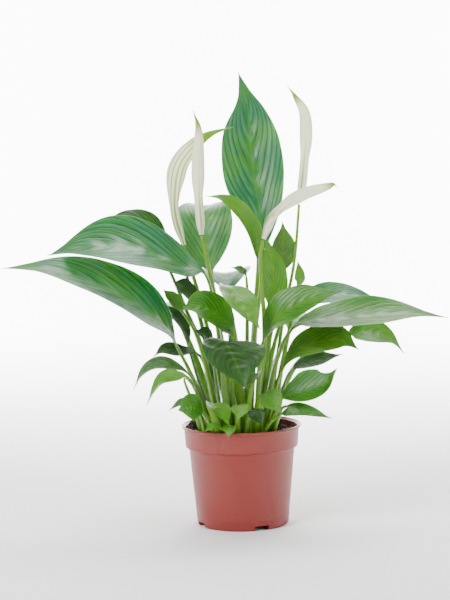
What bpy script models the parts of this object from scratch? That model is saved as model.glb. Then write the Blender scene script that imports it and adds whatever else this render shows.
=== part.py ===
"""A peace lily in a plastic grower pot: pot, potting mix, leaves and flowers.

Lengths in the plan are millimetres, and Blender's units are metres. The origin is the centre of the pot's
flat underside, +Z points up and -Y is the plant's front.
"""

import math
from dataclasses import dataclass

import bmesh
import bpy
import numpy as np

MM = 0.001
GAP = 0.3
FOOT_GAP = 1.0

# Pot
POT_HEIGHT = 101.0
LIP_RADIUS = 60.0
COLLAR_TOP_RADIUS = 57.8
COLLAR_BOTTOM_RADIUS = 56.5
COLLAR_HEIGHT = 21.0
BODY_TOP_RADIUS = 53.1
BASE_RADIUS = 46.2
BASE_CORNER = 3.0
WALL = 1.5
FLOOR = 2.5
POT_SEGMENTS = 40

# Drain slots
SLOT_COUNT = 4
SLOT_FIRST_ANGLE = -66.4
SLOT_INNER_RADIUS = 30.0
SLOT_WIDTH = 15.0
SLOT_HEIGHT = 5.0

# Potting mix
SOIL_LEVEL = 94.0
SOIL_RINGS = 6
MOUND_AT = (-44.0, 6.0)
MOUND_HEIGHT = 11.0
MOUND_SPREAD = 8.0

# Leaves and flowers
PETIOLE_FOOT_RADIUS = 2.4
PETIOLE_TOP_RADIUS = 1.5
BLADE_THICKNESS = 1.1
PETIOLE_STATIONS = 5
BLADE_STATIONS = 9
RING_POINTS = 8
TIP_RADIUS = 0.25
STALK_RADIUS = 1.9
SPADIX_RADIUS = 3.2
SPADIX_LENGTH = 36.0


@dataclass(frozen=True)
class Leaf:
    """A leaf's midline from its foot in the soil to its tip, and its blade.

    spine: (x, y) of the foot, then (x, y, z) points; blade: index of the point where the blade starts;
    width: its greatest half width; side: azimuth and rise in degrees of the direction to its left edge;
    cup: half of the angle that its cross-section bends through; widest: where along the blade it is widest.
    """

    name: str
    spine: tuple
    blade: int
    width: float
    side: tuple
    cup: float = 22.0
    widest: float = 0.42
    finish: str = "mature"


@dataclass(frozen=True)
class Flower:
    """A flower's stalk from foot to top, and its spathe's midline from there to its tip."""

    name: str
    stalk: tuple
    spathe: tuple
    width: float
    side: tuple
    cup: float
    spadix: float = SPADIX_LENGTH
    stalk_radius: float = STALK_RADIUS


LEAVES = (
    Leaf("leaf_tall_centre", ((6, 12), (14, 14, 180), (20, 18, 254), (23, 28, 309), (18, 38, 346),
         (15, 46, 384), (13, 52, 418), (4, 56, 454)), 2, 32, (180, 0), 24, 0.46),
    Leaf("leaf_young_narrow", ((2, -2), (14, 2, 180), (23, 0, 248), (19, -4, 276), (12, -7, 299),
         (0, -9, 317), (-15, -9, 328), (-31, -8, 331)), 2, 12, (230, -30), 40, 0.42, "young"),
    Leaf("leaf_upper_left", ((-10, -2), (-20, -6, 190), (-31, -8, 250), (-53, -12, 261),
         (-88, -18, 278), (-123, -22, 286), (-158, -24, 284), (-188, -24, 276)), 2, 36, (270, -36), 20,
         0.48),
    Leaf("leaf_upper_left_back", ((-20, 14), (-37, 22, 172), (-53, 28, 214), (-69, 33, 254),
         (-90, 38, 290), (-113, 41, 304), (-134, 41, 308)), 3, 24, (270, -40), 20, 0.38, "shaded"),
    Leaf("leaf_lower_left", ((-33, -14), (-37, -16, 125), (-50, -20, 158), (-61, -24, 181),
         (-73, -28, 204), (-93, -32, 222), (-121, -38, 240), (-155, -44, 256), (-189, -50, 266),
         (-230, -54, 267)), 3, 36, (270, -30), 20, 0.46),
    Leaf("leaf_drooping_left", ((-23, 0), (-40, 2, 140), (-51, 2, 178), (-57, 5, 199), (-68, 7, 213),
         (-82, 8, 225)), 2, 11, (250, -20), 25, 0.42, "shaded"),
    Leaf("leaf_dark_left", ((-22, -6), (-32, -6, 150), (-42, -5, 173), (-60, -5, 176), (-76, -6, 178),
         (-87, -6, 171)), 2, 9, (270, -40), 22, 0.45, "shaded"),
    Leaf("leaf_striped_left", ((-24, -26), (-40, -28, 133), (-50, -28, 155), (-67, -30, 165),
         (-84, -32, 166), (-97, -34, 158), (-106, -36, 143)), 2, 10, (270, -32), 25, 0.45, "silver"),
    Leaf("leaf_bright_left", ((-26, -30), (-40, -39, 130), (-51, -42, 154), (-63, -44, 156),
         (-76, -45, 153), (-85, -46, 143), (-93, -47, 129)), 2, 11, (270, -32), 25, 0.45, "young"),
    Leaf("leaf_silver_curl", ((-37, -26), (-47, -43, 128), (-55, -52, 154), (-47, -54, 149),
         (-44, -54, 140)), 2, 4, (290, 0), 20, 0.5, "silver"),
    Leaf("leaf_small_silver_left", ((-34, -36), (-40, -46, 118), (-48, -53, 130), (-58, -56, 132),
         (-71, -58, 125)), 2, 5, (270, -40), 20, 0.45, "silver"),
    Leaf("leaf_round_left", ((-24, -42), (-29, -47, 106), (-37, -57, 121), (-48, -63, 128),
         (-62, -66, 126)), 2, 14, (270, -62), 12, 0.5, "green"),
    Leaf("leaf_front_left", ((-8, -26), (-8, -34, 160), (-5, -40, 198), (-22, -44, 216),
         (-40, -47, 226), (-57, -50, 222)), 2, 20, (270, -52), 25, 0.42, "green"),
    Leaf("leaf_front_arching", ((2, -16), (-4, -24, 180), (-12, -30, 240), (-4, -50, 235),
         (7, -63, 220), (20, -72, 204)), 2, 19, (20, -12), 22, 0.4, "young"),
    Leaf("leaf_small_silver_centre", ((5, -10), (8, -10, 200), (8, -12, 248), (2, -13, 257),
         (-7, -14, 260)), 2, 5, (240, -30), 18, 0.45, "silver"),
    Leaf("leaf_front_centre", ((-12, -34), (-16, -42, 150), (-16, -50, 190), (-10, -68, 184),
         (-3, -84, 170), (4, -94, 150)), 2, 33, (8, -12), 20, 0.42, "shaded"),
    Leaf("leaf_front_centre_lower", ((6, -38), (8, -48, 130), (14, -56, 158), (12, -66, 156),
         (2, -74, 146)), 2, 9, (330, 10), 30, 0.45, "young"),
    Leaf("leaf_front_right", ((14, -26), (17, -32, 150), (21, -38, 184), (36, -43, 212), (55, -48, 224),
         (75, -54, 232), (101, -60, 239)), 2, 23, (90, 44), 22, 0.42, "green"),
    Leaf("leaf_long_right", ((20, -8), (34, -12, 160), (52, -16, 198), (75, -18, 206), (104, -20, 208),
         (134, -22, 211), (169, -24, 212), (206, -26, 207)), 2, 26, (90, 28), 20, 0.46, "green"),
    Leaf("leaf_upper_right_back", ((16, 8), (32, 14, 170), (49, 16, 213), (80, 20, 225), (112, 22, 227),
         (148, 24, 219)), 2, 17, (90, 32), 20, 0.44),
    Leaf("leaf_round_right", ((26, 9), (56, 11, 158), (104, 6, 187), (120, 4, 191), (135, 4, 190),
         (152, 4, 183), (165, 4, 168)), 2, 16, (90, 42), 16, 0.42, "young"),
    Leaf("leaf_olive_right", ((24, -20), (32, -22, 130), (40, -24, 156), (57, -28, 178), (80, -32, 187),
         (101, -36, 188), (117, -38, 178)), 2, 19, (90, 44), 20, 0.5, "olive"),
    Leaf("leaf_dark_right", ((28, -6), (40, -6, 130), (51, -6, 155), (75, -9, 164), (103, -12, 171)), 2,
         11, (90, 34), 20, 0.45, "shaded"),
    Leaf("leaf_folded_right", ((26, -30), (32, -38, 116), (38, -43, 132), (60, -49, 140),
         (83, -54, 148), (94, -56, 163)), 2, 19, (90, 50), 40, 0.45, "green"),
    Leaf("leaf_lower_right", ((28, -36), (36, -46, 114), (43, -54, 126), (64, -60, 121),
         (88, -66, 115)), 2, 9, (90, 30), 22, 0.42, "green"),
    Leaf("leaf_small_pale_right", ((18, -42), (26, -50, 108), (38, -60, 119), (48, -66, 122),
         (61, -69, 119)), 2, 6, (90, 40), 15, 0.45, "silver"),
    Leaf("leaf_bright_right", ((13, -36), (18, -48, 124), (20, -57, 138), (29, -64, 134),
         (39, -72, 121)), 2, 12, (20, 25), 20, 0.45, "young"),
    Leaf("leaf_bright_front", ((-19, -42), (-28, -50, 118), (-32, -54, 131), (-23, -63, 126),
         (-12, -71, 111)), 2, 16, (30, -20), 20, 0.45, "young"),
    Leaf("leaf_small_front", ((-4, -42), (-4, -52, 116), (-4, -57, 128), (-2, -64, 125),
         (-3, -69, 116)), 2, 9, (0, 0), 20, 0.45, "young"),
    Leaf("leaf_dark_front", ((4, -44), (6, -51, 110), (8, -56, 122), (14, -61, 119), (21, -65, 109)), 2,
         9, (20, 0), 20, 0.45, "shaded"),
    Leaf("leaf_low_left", ((-14, -46), (-16, -49, 101), (-20, -55, 106), (-28, -60, 108),
         (-37, -62, 104)), 2, 5.5, (270, -30), 20, 0.45, "young"),
    Leaf("leaf_over_lip", ((-7, -46), (-8, -50, 102), (-11, -56, 108), (-12, -62, 106), (-13, -66, 98)),
         2, 6.5, (0, 0), 20, 0.42, "young"),
    Leaf("leaf_broad_back", ((-12, 18), (-20, 26, 190), (-27, 22, 246), (-31, 24, 275), (-33, 31, 300),
         (-34, 42, 314), (-34, 66, 318), (-34, 92, 310)), 2, 29, (178, 0), 16, 0.42, "pale"),
    Leaf("leaf_back_tip", ((-18, 22), (-36, 28, 190), (-52, 32, 248), (-54, 35, 268), (-46, 38, 288)),
         2, 10, (200, -10), 20, 0.42, "shaded"),
    Leaf("leaf_upright_right", ((14, -8), (24, -8, 160), (33, -8, 204), (36, -5, 232), (34, -3, 261),
         (28, -1, 290)), 2, 14, (180, 6), 30, 0.5, "young"),
    Leaf("leaf_back_right", ((18, 18), (30, 20, 190), (40, 24, 245), (46, 29, 273), (46, 33, 302)), 2,
         13, (190, 0), 20, 0.45, "olive"),
    Leaf("leaf_light_right", ((31, 2), (40, 0, 150), (58, -7, 232), (61, -6, 248), (59, -5, 266)), 2,
         5.5, (180, 0), 20, 0.45, "young"),
    Leaf("leaf_under_left", ((-18, -12), (-38, -14, 180), (-54, -18, 214), (-66, -20, 230),
         (-75, -20, 240)), 2, 9, (250, -40), 20, 0.45, "green"),
    Leaf("leaf_dark_back_left", ((-17, 3), (-33, 0, 180), (-42, 1, 218), (-54, 1, 238), (-66, 1, 246)),
         2, 13, (250, -30), 20, 0.45, "shaded"),
    Leaf("leaf_dark_inner_left", ((-16, -20), (-24, -24, 150), (-27, -26, 178), (-34, -28, 194),
         (-44, -30, 200)), 2, 10, (260, -40), 20, 0.45, "shaded"),
    Leaf("leaf_dark_inner", ((-8, -10), (-9, -16, 160), (-8, -18, 190), (-16, -20, 202),
         (-26, -22, 206)), 2, 9, (260, -40), 20, 0.45, "shaded"),
    Leaf("leaf_back_low_left", ((-22, 26), (-44, 40, 160), (-60, 56, 196), (-76, 76, 212),
         (-88, 96, 212), (-96, 116, 202)), 2, 24, (205, 0), 22, 0.45),
    Leaf("leaf_back_middle", ((-4, 26), (-8, 40, 180), (-10, 56, 226), (-12, 78, 244), (-14, 104, 244),
         (-14, 130, 230)), 2, 27, (180, 0), 22, 0.45),
    Leaf("leaf_back_low_right", ((18, 26), (34, 40, 150), (50, 58, 184), (66, 78, 198), (80, 98, 198),
         (92, 116, 188)), 2, 23, (150, 0), 22, 0.45),
)

FLOWERS = (
    Flower("flower_left", ((-10, 8), (-24, 13, 160), (-40, 13, 230), (-54, 12, 279)), ((-54, 12, 281),
         (-62, 12, 312), (-62, 12, 340), (-57, 12, 362), (-43, 12, 380), (-24, 12, 392), (-2, 12, 398)),
         14, (0, 0), 88, 30.0),
    Flower("flower_centre", ((-2, 4), (-17, 12, 180), (-28, 4, 250), (-36, -2, 290)), ((-36, -2, 292),
         (-38, -2, 326), (-38, -2, 362), (-37, -2, 396), (-42, -3, 416)), 8.5, (10, 0), 75, 34.0),
    Flower("flower_arching", ((10, -16), (24, -16, 180), (22, -18, 262), (24, -18, 286)),
         ((25, -18, 288), (34, -18, 309), (48, -18, 322), (64, -18, 331), (82, -18, 337),
         (95, -18, 341), (99, -18, 337)), 8.5, (90, 60), 60, 26.0),
    Flower("flower_right", ((25, 0), (43, 4, 200), (56, 6, 262), (62, 8, 320)), ((63, 8, 322),
         (67, 8, 352), (70, 8, 384), (69, 8, 410), (61, 8, 426), (52, 8, 438)), 8, (-10, 0), 70, 34.0,
         1.4),
)

FINISHES = {
    "mature": ((0.045, 0.170, 0.060), 0.42),
    "green": ((0.070, 0.235, 0.010), 0.42),
    "young": ((0.180, 0.350, 0.030), 0.40),
    "shaded": ((0.025, 0.095, 0.015), 0.45),
    "olive": ((0.130, 0.180, 0.020), 0.45),
    "pale": ((0.200, 0.380, 0.220), 0.45),
    "silver": ((0.300, 0.450, 0.330), 0.45),
    "spathe": ((0.800, 0.800, 0.640), 0.50),
    "stalk": ((0.220, 0.400, 0.060), 0.45),
    "spadix": ((0.700, 0.680, 0.350), 0.60),
    "pot": ((0.280, 0.045, 0.030), 0.40),
    "soil": ((0.020, 0.010, 0.006), 0.95),
}


def clear_scene():
    """Removes every object that the opened scene holds."""
    for old in list(bpy.data.objects):
        bpy.data.objects.remove(old, do_unlink=True)


def material(finish):
    """Returns the Principled material of a finish, made once."""
    made = bpy.data.materials.get(finish)
    if made:
        return made
    colour, roughness = FINISHES[finish]
    made = bpy.data.materials.new(finish)
    made.use_nodes = True
    shader = made.node_tree.nodes["Principled BSDF"]
    shader.inputs["Base Color"].default_value = (*colour, 1.0)
    shader.inputs["Roughness"].default_value = roughness
    shader.inputs["Metallic"].default_value = 0.0
    return made


def add_object(name, bm, finish):
    """Makes an object with outward normals from a bmesh given in millimetres."""
    bmesh.ops.recalc_face_normals(bm, faces=bm.faces)
    bmesh.ops.scale(bm, vec=(MM, MM, MM), verts=bm.verts)
    mesh = bpy.data.meshes.new(name)
    bm.to_mesh(mesh)
    bm.free()
    mesh.shade_smooth()
    mesh.materials.append(material(finish))
    made = bpy.data.objects.new(name, mesh)
    bpy.context.scene.collection.objects.link(made)
    return made


def loft(name, rings, finish):
    """Makes a closed body from rings of points, with a flat cap on the first and last ring."""
    bm = bmesh.new()
    loops = [[bm.verts.new(point) for point in ring] for ring in rings]
    for lower, upper in zip(loops, loops[1:]):
        for i in range(len(lower)):
            j = (i + 1) % len(lower)
            bm.faces.new((lower[i], lower[j], upper[j], upper[i]))
    bm.faces.new(loops[0])
    bm.faces.new(loops[-1])
    return add_object(name, bm, finish)


def curve_through(points, places):
    """Returns points of a smooth curve through the given points, at places counted in points."""
    given = np.array(points, dtype=float)
    padded = np.vstack((2 * given[0] - given[1], given, 2 * given[-1] - given[-2]))
    start = np.clip(np.floor(places).astype(int), 0, len(given) - 2)
    f = (places - start)[:, None]
    a, b, c, d = (padded[start + k] for k in range(4))
    return 0.5 * (2 * b + (c - a) * f + (2 * a - 5 * b + 4 * c - d) * f**2 + (3 * b - a - 3 * c + d) * f**3)


def direction(azimuth, rise):
    """Returns the unit vector of an azimuth and a rise in degrees."""
    a, r = math.radians(azimuth), math.radians(rise)
    return np.array((math.cos(a) * math.cos(r), math.sin(a) * math.cos(r), math.sin(r)))


def soil_height(x, y):
    """Returns the potting mix's height at a point: level, with one mound."""
    distance = math.hypot(x - MOUND_AT[0], y - MOUND_AT[1])
    return SOIL_LEVEL + MOUND_HEIGHT * math.exp(-0.5 * (distance / MOUND_SPREAD) ** 2)


def spine_points(spine):
    """Returns a spine's points with its foot set just above the potting mix."""
    x, y = spine[0]
    return [(x, y, soil_height(x, y) + FOOT_GAP), *spine[1:]]


def frames(line, side):
    """Returns unit tangents, left sides and upward normals along a line of points."""
    tangents = np.gradient(line, axis=0)
    tangents[0] = (0.0, 0.0, 1.0) if line[1][2] - line[0][2] > 1.0 and line[0][2] < 150.0 else tangents[0]
    tangents /= np.linalg.norm(tangents, axis=1)[:, None]
    lefts = side - (tangents @ side)[:, None] * tangents
    lefts /= np.linalg.norm(lefts, axis=1)[:, None]
    return tangents, lefts, np.cross(tangents, lefts)


def blade_profile(t, widest):
    """Returns the share of a blade's greatest width at shares t of its length."""
    power = math.log(0.5) / math.log(widest)
    sharpness = np.interp(t, (0.0, 0.35, 0.6, 0.87, 1.0), (1.3, 1.1, 0.8, 1.45, 1.3))
    return np.clip(np.sin(math.pi * t**power), 0.0, 1.0) ** sharpness


def stem_ring(centre, left, normal, radius):
    """Returns a round ring of points about a centre."""
    angles = math.pi - np.arange(RING_POINTS) * 2 * math.pi / RING_POINTS
    return centre + radius * (np.cos(angles)[:, None] * left + np.sin(angles)[:, None] * normal)


def blade_ring(centre, left, normal, half_width, cup, thickness):
    """Returns a ring of points around a blade's cupped cross-section."""
    across = np.array((-1.0, -0.55, 0.0, 0.55, 1.0, 0.55, 0.0, -0.55))
    lift = np.array((0.0, 0.5, 0.5, 0.5, 0.0, -0.5, -0.5, -0.5)) * thickness
    bend = math.radians(cup)
    radius = half_width / bend
    u = (radius - lift) * np.sin(bend * across)
    v = radius - (radius - lift) * np.cos(bend * across)
    return centre + u[:, None] * left + v[:, None] * normal


def blade_rings(line, lefts, normals, leaf_width, cup, widest, start_radius):
    """Returns the rings of a blade along its midline, easing from a round stem into the blade."""
    shares = np.linspace(0.0, 1.0, len(line))
    least = start_radius * (1 - shares) + TIP_RADIUS
    widths = np.maximum(leaf_width * blade_profile(shares, widest), least)
    thickness = np.interp(shares, (0.0, 0.15, 0.9, 1.0), (1.6, BLADE_THICKNESS, 0.8, 0.4))
    return [
        blade_ring(line[i], lefts[i], normals[i], widths[i], cup, thickness[i]) for i in range(1, len(line))
    ]


def build_leaf(leaf):
    """Makes one leaf as one body: petiole, then blade."""
    points = spine_points(leaf.spine)
    stem_places = np.linspace(0.0, leaf.blade, PETIOLE_STATIONS)
    blade_places = np.linspace(leaf.blade, len(points) - 1, BLADE_STATIONS)
    line = curve_through(points, np.concatenate((stem_places, blade_places[1:])))
    _, lefts, normals = frames(line, direction(*leaf.side))
    radii = np.linspace(PETIOLE_FOOT_RADIUS, PETIOLE_TOP_RADIUS, PETIOLE_STATIONS)
    rings = [stem_ring(line[i], lefts[i], normals[i], radii[i]) for i in range(PETIOLE_STATIONS)]
    last = PETIOLE_STATIONS - 1
    rings += blade_rings(line[last:], lefts[last:], normals[last:], leaf.width, leaf.cup, leaf.widest,
                         PETIOLE_TOP_RADIUS)
    return loft(leaf.name, rings, leaf.finish)


def build_stalk(flower):
    """Makes a flower's stalk, from the potting mix to the base of its spathe."""
    points = spine_points(flower.stalk)
    line = curve_through(points, np.linspace(0.0, len(points) - 1, 9))
    _, lefts, normals = frames(line, direction(*flower.side))
    radii = np.linspace(flower.stalk_radius + 0.5, flower.stalk_radius, len(line))
    rings = [stem_ring(line[i], lefts[i], normals[i], radii[i]) for i in range(len(line))]
    return loft(f"{flower.name}_stalk", rings, "stalk")


def build_spathe(flower):
    """Makes a flower's spathe, which starts beside the top of its stalk."""
    points = np.array(flower.spathe, dtype=float)
    line = curve_through(points, np.linspace(0.0, len(points) - 1, BLADE_STATIONS))
    _, lefts, normals = frames(line, direction(*flower.side))
    line = line - normals * (SPADIX_RADIUS + 1.5)
    widths = np.maximum(flower.width * blade_profile(np.linspace(0.0, 1.0, len(line)), 0.45), 1.5)
    widths[-1] = TIP_RADIUS
    rings = [
        blade_ring(line[i], lefts[i], normals[i], widths[i], flower.cup, BLADE_THICKNESS)
        for i in range(len(line))
    ]
    return loft(f"{flower.name}_spathe", rings, "spathe")


def build_spadix(flower):
    """Makes a flower's spadix, a round-ended spike on top of the stalk."""
    points = np.array(flower.spathe, dtype=float)
    dense = curve_through(points, np.linspace(0.0, len(points) - 1, 200))
    run = np.concatenate(((0.0,), np.cumsum(np.linalg.norm(np.diff(dense, axis=0), axis=1))))
    heights = np.linspace(0.0, flower.spadix, 7)
    line = np.stack([np.interp(heights, run, dense[:, k]) for k in range(3)], axis=1)
    _, lefts, normals = frames(line, direction(*flower.side))
    radii = SPADIX_RADIUS * np.array((0.45, 0.8, 1.0, 1.0, 0.9, 0.65, 0.2))
    rings = [stem_ring(line[i], lefts[i], normals[i], radii[i]) for i in range(len(line))]
    return loft(f"{flower.name}_spadix", rings, "spadix")


def turned(profile, segments):
    """Returns a closed body turned about Z from a closed outline of (radius, height) points."""
    bm = bmesh.new()
    verts = [bm.verts.new((r, 0.0, z)) for r, z in profile]
    edges = [bm.edges.new((verts[i], verts[(i + 1) % len(verts)])) for i in range(len(verts) - 1)]
    bmesh.ops.spin(bm, geom=verts + edges, cent=(0, 0, 0), axis=(0, 0, 1), dvec=(0, 0, 0),
                   angle=2 * math.pi, steps=segments, use_merge=True)
    bmesh.ops.remove_doubles(bm, verts=bm.verts, dist=0.01)
    return bm


def pot_profile():
    """Returns the pot's outline from the underside's centre, up the outside, and down the inside."""
    collar_bottom = POT_HEIGHT - COLLAR_HEIGHT
    corner = [
        (BASE_RADIUS - BASE_CORNER + BASE_CORNER * math.sin(a), BASE_CORNER - BASE_CORNER * math.cos(a))
        for a in (0.0, math.pi / 6, math.pi / 3, math.pi / 2)
    ]
    outside = [
        (0.0, 0.0), *corner, (BODY_TOP_RADIUS, collar_bottom - 2.0),
        (COLLAR_BOTTOM_RADIUS - 1.0, collar_bottom - 1.0),
        (COLLAR_BOTTOM_RADIUS, collar_bottom + 1.0), (COLLAR_TOP_RADIUS, POT_HEIGHT - 3.0),
        (LIP_RADIUS, POT_HEIGHT - 2.2), (LIP_RADIUS, POT_HEIGHT - 0.6), (LIP_RADIUS - 0.8, POT_HEIGHT),
    ]
    inside = [
        (COLLAR_TOP_RADIUS - WALL, POT_HEIGHT - 0.6), (COLLAR_BOTTOM_RADIUS - WALL, collar_bottom + 1.0),
        (BODY_TOP_RADIUS - WALL, collar_bottom - 2.0), (BASE_RADIUS - WALL, FLOOR + 2.0),
        (BASE_RADIUS - WALL - 2.0, FLOOR), (0.0, FLOOR),
    ]
    return outside + inside


def build_pot():
    """Makes the pot, with drain slots cut through the corner of its bottom."""
    pot = add_object("pot", turned(pot_profile(), POT_SEGMENTS), "pot")
    for k in range(SLOT_COUNT):
        bm = bmesh.new()
        bmesh.ops.create_cube(bm, size=1.0)
        reach = BASE_RADIUS + 4.0 - SLOT_INNER_RADIUS
        bmesh.ops.scale(bm, vec=(reach, SLOT_WIDTH, 2 * SLOT_HEIGHT), verts=bm.verts)
        cutter = add_object(f"slot_cutter_{k + 1}", bm, "pot")
        angle = math.radians(SLOT_FIRST_ANGLE + k * 360.0 / SLOT_COUNT)
        middle = (SLOT_INNER_RADIUS + reach / 2) * MM
        cutter.location = (middle * math.cos(angle), middle * math.sin(angle), 0.0)
        cutter.rotation_euler = (0.0, 0.0, angle)
        cutter.hide_render = True
        cutter.display_type = "WIRE"
        cut = pot.modifiers.new(f"slot_{k + 1}", "BOOLEAN")
        cut.operation = "DIFFERENCE"
        cut.object = cutter


def build_potting_mix():
    """Makes the potting mix: a plug that fills the pot, with a mound on its uneven top."""
    clear = WALL + GAP
    collar_bottom = POT_HEIGHT - COLLAR_HEIGHT
    outline = [
        (BASE_RADIUS - clear - 2.5, FLOOR + SLOT_HEIGHT),
        (BODY_TOP_RADIUS - clear - 0.3, collar_bottom - 2.0),
        (COLLAR_BOTTOM_RADIUS - clear - 0.6, collar_bottom + 1.5),
        (COLLAR_TOP_RADIUS - clear - 1.6, SOIL_LEVEL),
    ]
    top_radius = outline[-1][0]
    angles = np.linspace(0.0, 2 * math.pi, POT_SEGMENTS, endpoint=False)
    rings = [[(r * math.cos(a), r * math.sin(a), z) for a in angles] for r, z in outline[:-1]]
    for share in np.linspace(1.0, 0.08, SOIL_RINGS):
        r = top_radius * share
        rings.append([(r * math.cos(a), r * math.sin(a), soil_height(r * math.cos(a), r * math.sin(a)))
                      for a in angles])
    return loft("potting_mix", rings, "soil")


def main():
    """Builds the whole plant in its pot."""
    clear_scene()
    build_pot()
    build_potting_mix()
    for leaf in LEAVES:
        build_leaf(leaf)
    for flower in FLOWERS:
        build_stalk(flower)
        build_spathe(flower)
        build_spadix(flower)


main()
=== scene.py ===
"""Dresses a peace lily in its grower pot: leaves, flowers, potting mix, pot, floor, light and camera.

The plan below is in millimetres; meshes are in metres, in the frame of the CAD model (+Z up, -Y the front).
"""

import logging
import math
from dataclasses import dataclass
from enum import Enum

import bpy
import numpy as np
from mathutils import Matrix, Vector


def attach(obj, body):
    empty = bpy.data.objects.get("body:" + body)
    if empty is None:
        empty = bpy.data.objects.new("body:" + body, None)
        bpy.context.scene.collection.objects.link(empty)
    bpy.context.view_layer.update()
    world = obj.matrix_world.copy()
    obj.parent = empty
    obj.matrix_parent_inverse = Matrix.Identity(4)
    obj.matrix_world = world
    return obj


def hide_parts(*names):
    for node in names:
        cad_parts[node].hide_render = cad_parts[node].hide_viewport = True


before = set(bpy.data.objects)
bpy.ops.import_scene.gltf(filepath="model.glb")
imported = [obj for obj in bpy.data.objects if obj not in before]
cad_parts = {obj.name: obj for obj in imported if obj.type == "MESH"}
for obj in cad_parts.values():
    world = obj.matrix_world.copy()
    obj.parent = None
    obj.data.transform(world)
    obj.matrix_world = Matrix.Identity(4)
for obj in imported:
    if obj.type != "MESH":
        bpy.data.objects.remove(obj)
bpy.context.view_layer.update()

LOG = logging.getLogger("peace_lily")
MM = 0.001
BODY = "root"


class Finish(Enum):
    """The finishes of the plant's leaves, with the material slot that each one takes."""

    MATURE = "leaf_mature"
    GREEN = "leaf_green"
    YOUNG = "leaf_young"
    # Painted shade: a darker copy of the leaf colours, for leaves that sit in shadow.
    SHADED = "leaf_shaded"
    OLIVE = "leaf_olive"
    PALE = "leaf_pale"
    # Painted reflection: a dark leaf colour with the palest painted highlight between the grooves, which
    # gives the silver look.
    SILVER_SHEEN = "leaf_silver"


@dataclass(frozen=True)
class LeafFinish:
    """Colours of one kind of leaf: blade, painted shade in the vein grooves, painted highlight between them,
    margin, underside and petiole.
    """

    blade: tuple
    # Painted shade: a darker green laid in the sunken vein grooves.
    groove_shade: tuple
    # Painted highlight: a lighter green laid between the grooves.
    painted_sheen: tuple
    margin: tuple
    under: tuple
    petiole: tuple
    roughness: float


LEAF_FINISHES = {
    Finish.MATURE: LeafFinish(
        (0.010, 0.125, 0.040), (0.002, 0.050, 0.010), (0.050, 0.270, 0.140), (0.035, 0.190, 0.010),
        (0.080, 0.230, 0.025), (0.090, 0.240, 0.003), 0.34),
    Finish.GREEN: LeafFinish(
        (0.020, 0.135, 0.001), (0.005, 0.055, 0.001), (0.070, 0.240, 0.008), (0.050, 0.190, 0.002),
        (0.110, 0.260, 0.018), (0.095, 0.240, 0.003), 0.36),
    Finish.YOUNG: LeafFinish(
        (0.055, 0.215, 0.001), (0.024, 0.125, 0.001), (0.130, 0.330, 0.008), (0.090, 0.270, 0.003),
        (0.130, 0.300, 0.018), (0.120, 0.290, 0.003), 0.38),
    # Painted shade: darker copies of the leaf colours, for leaves that sit in shadow.
    Finish.SHADED: LeafFinish(
        (0.006, 0.046, 0.001), (0.002, 0.020, 0.001), (0.022, 0.100, 0.004), (0.016, 0.080, 0.001),
        (0.030, 0.110, 0.003), (0.055, 0.160, 0.002), 0.36),
    Finish.OLIVE: LeafFinish(
        (0.034, 0.125, 0.001), (0.016, 0.075, 0.001), (0.090, 0.215, 0.008), (0.070, 0.180, 0.003),
        (0.110, 0.230, 0.016), (0.110, 0.250, 0.003), 0.40),
    Finish.PALE: LeafFinish(
        (0.040, 0.190, 0.045), (0.016, 0.110, 0.016), (0.120, 0.330, 0.130), (0.070, 0.240, 0.030),
        (0.120, 0.300, 0.080), (0.110, 0.260, 0.008), 0.42),
    # Painted reflection: a dark blade with a pale painted highlight between the grooves, for leaves that look
    # silver.
    Finish.SILVER_SHEEN: LeafFinish(
        (0.025, 0.110, 0.008), (0.010, 0.050, 0.003), (0.210, 0.340, 0.180), (0.050, 0.150, 0.010),
        (0.120, 0.250, 0.060), (0.085, 0.220, 0.004), 0.40),
}


@dataclass(frozen=True)
class LeafPlan:
    """A leaf's midline from foot to tip, and its blade.

    spine: (x, y) of the foot, then (x, y, z) points; blade: index of the point where the blade starts;
    width: its greatest half width; side: azimuth and rise of the direction to its left edge, in degrees;
    cup: half of the angle its section bends through; widest: where along the blade it is widest.
    """

    name: str
    spine: tuple
    blade: int
    width: float
    side: tuple
    cup: float = 22.0
    widest: float = 0.42
    finish: Finish = Finish.MATURE


@dataclass(frozen=True)
class FlowerPlan:
    """A flower's stalk from foot to top, and its spathe's midline from there to its tip."""

    name: str
    stalk: tuple
    spathe: tuple
    width: float
    side: tuple
    cup: float
    spadix: float
    stalk_radius: float = 1.9
    striped: bool = False


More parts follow.
